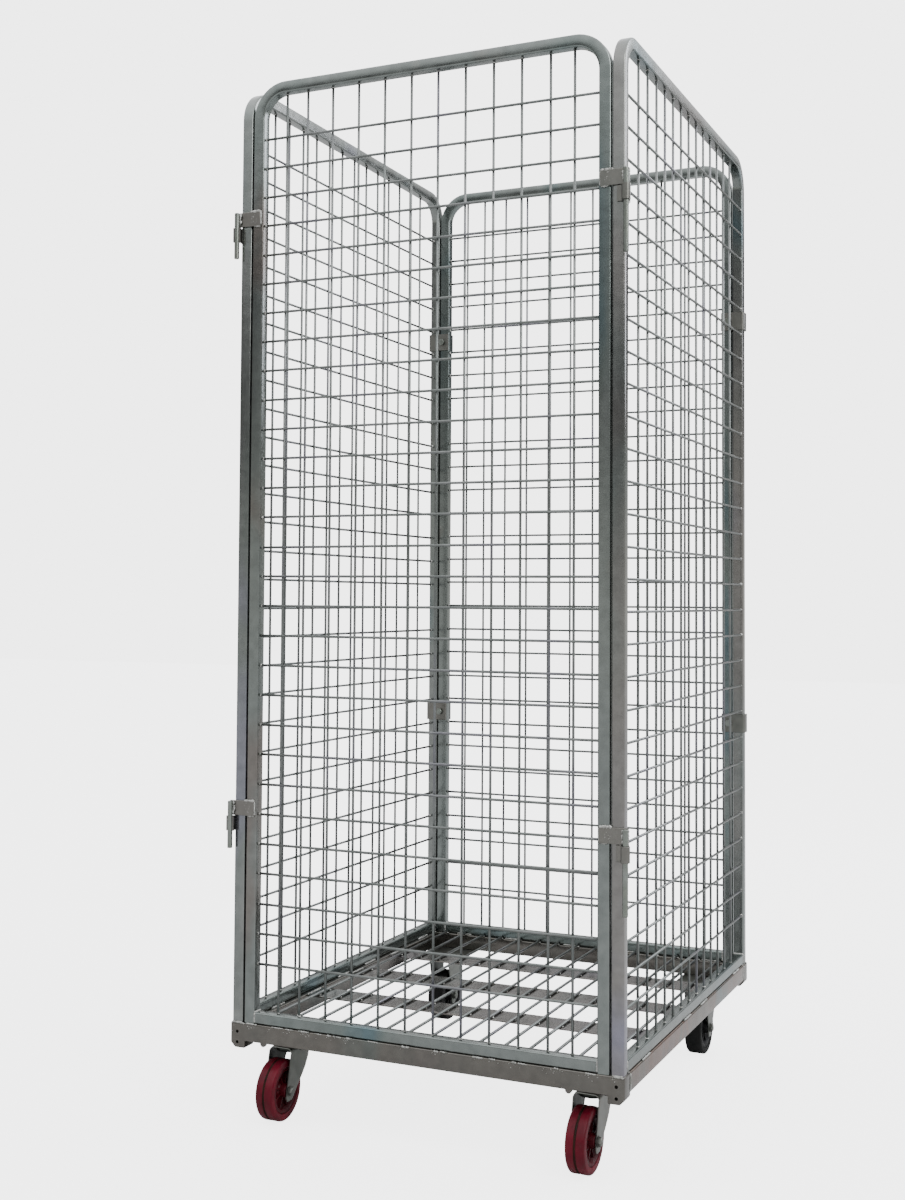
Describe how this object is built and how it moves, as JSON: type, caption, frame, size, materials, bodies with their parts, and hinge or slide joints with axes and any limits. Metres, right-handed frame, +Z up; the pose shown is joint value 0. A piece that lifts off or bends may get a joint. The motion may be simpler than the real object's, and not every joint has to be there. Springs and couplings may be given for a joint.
{
  "type": "roll cage container",
  "caption": "Tall wheeled wire-mesh cage on a low base, open at the top, with fixed sides and back and a mesh gate that lifts and swings on pins.",
  "frame": {"origin": "middle of the footprint, on the floor that the wheels stand on", "axes": "+Z up, the gate faces -Y, +X to the right seen from the gate, where the hinge pins are"},
  "size_m": [0.709, 0.827, 1.7543],
  "materials": {
    "zinc_steel": "bright zinc plate with iridescent passivation",
    "zinc_wire": "bright zinc plate on drawn wire",
    "caster_steel": "bright zinc plate on pressed steel",
    "red_polyurethane": "satin dark red",
    "red_hub_plastic": "satin dark red",
    "black_rubber": "matt black",
    "black_hub_plastic": "satin black"
  },
  "bodies": {
    "frame": {"base_front_bar": "zinc_steel", "base_rear_bar": "zinc_steel", "base_left_bar": "zinc_steel", "base_right_bar": "zinc_steel", "floor_slat_front": "zinc_steel", "floor_slat_middle": "zinc_steel", "floor_slat_rear": "zinc_steel", "floor_wires": "zinc_wire", "side_left_frame": "zinc_steel", "side_left_mesh": "zinc_wire", "side_right_frame": "zinc_steel", "side_right_mesh": "zinc_wire", "back_frame": "zinc_steel", "back_mesh": "zinc_wire", "socket_left_upper": "zinc_steel", "socket_left_lower": "zinc_steel", "socket_right_upper": "zinc_steel", "socket_right_lower": "zinc_steel", "clamp_left_upper": "zinc_steel", "clamp_left_lower": "zinc_steel", "clamp_right_upper": "zinc_steel", "clamp_right_lower": "zinc_steel", "clamp_bolt_left_upper": "zinc_steel", "clamp_bolt_left_lower": "zinc_steel", "clamp_bolt_right_upper": "zinc_steel", "clamp_bolt_right_lower": "zinc_steel", "caster_plate_front_left": "caster_steel", "caster_plate_front_right": "caster_steel", "caster_plate_rear_left": "caster_steel", "caster_plate_rear_right": "caster_steel", "swivel_bearing_front_left": "caster_steel", "swivel_bearing_front_right": "caster_steel", "king_pin_front_left": "caster_steel", "king_pin_front_right": "caster_steel", "fork_rear_left": "zinc_steel", "fork_rear_right": "zinc_steel", "axle_rear_left": "zinc_steel", "axle_rear_right": "zinc_steel"},
    "gate_pins": {"hinge_pin_upper": "zinc_steel", "hinge_pin_lower": "zinc_steel"},
    "gate": {"gate_frame": "zinc_steel", "gate_mesh": "zinc_wire", "strap_left_upper": "zinc_steel", "strap_left_lower": "zinc_steel", "strap_right_upper": "zinc_steel", "strap_right_lower": "zinc_steel", "latch_pin_upper": "zinc_steel", "latch_pin_lower": "zinc_steel"},
    "swivel_front_left": {"fork_front_left": "zinc_steel", "axle_front_left": "zinc_steel"},
    "swivel_front_right": {"fork_front_right": "zinc_steel", "axle_front_right": "zinc_steel"},
    "wheel_front_left": {"tread_front_left": "red_polyurethane", "hub_front_left": "red_hub_plastic"},
    "wheel_front_right": {"tread_front_right": "red_polyurethane", "hub_front_right": "red_hub_plastic"},
    "wheel_rear_left": {"tread_rear_left": "black_rubber", "hub_rear_left": "black_hub_plastic"},
    "wheel_rear_right": {"tread_rear_right": "black_rubber", "hub_rear_right": "black_hub_plastic"}
  },
  "joints": [
    {"name": "gate_lift", "type": "slide", "parent": "frame", "child": "gate_pins", "axis": [0, 0, 1], "range_m": [0, 0.06]},
    {"name": "gate_swing", "type": "hinge", "parent": "gate_pins", "child": "gate", "pos_m": [0.3475, -0.4026, 1], "axis": [0, 0, 1], "range_deg": [0, 270]},
    {"name": "swivel_front_left", "type": "hinge", "parent": "frame", "child": "swivel_front_left", "pos_m": [-0.271, -0.326, 0.12], "axis": [0, 0, 1], "continuous": true},
    {"name": "swivel_front_right", "type": "hinge", "parent": "frame", "child": "swivel_front_right", "pos_m": [0.271, -0.326, 0.12], "axis": [0, 0, 1], "continuous": true},
    {"name": "wheel_spin_front_left", "type": "hinge", "parent": "swivel_front_left", "child": "wheel_front_left", "pos_m": [-0.271, -0.3635, 0.05], "axis": [1, 0, 0], "continuous": true},
    {"name": "wheel_spin_front_right", "type": "hinge", "parent": "swivel_front_right", "child": "wheel_front_right", "pos_m": [0.271, -0.3635, 0.05], "axis": [1, 0, 0], "continuous": true},
    {"name": "wheel_spin_rear_left", "type": "hinge", "parent": "frame", "child": "wheel_rear_left", "pos_m": [-0.271, 0.31, 0.05], "axis": [1, 0, 0], "continuous": true},
    {"name": "wheel_spin_rear_right", "type": "hinge", "parent": "frame", "child": "wheel_rear_right", "pos_m": [0.271, 0.31, 0.05], "axis": [1, 0, 0], "continuous": true}
  ]
}
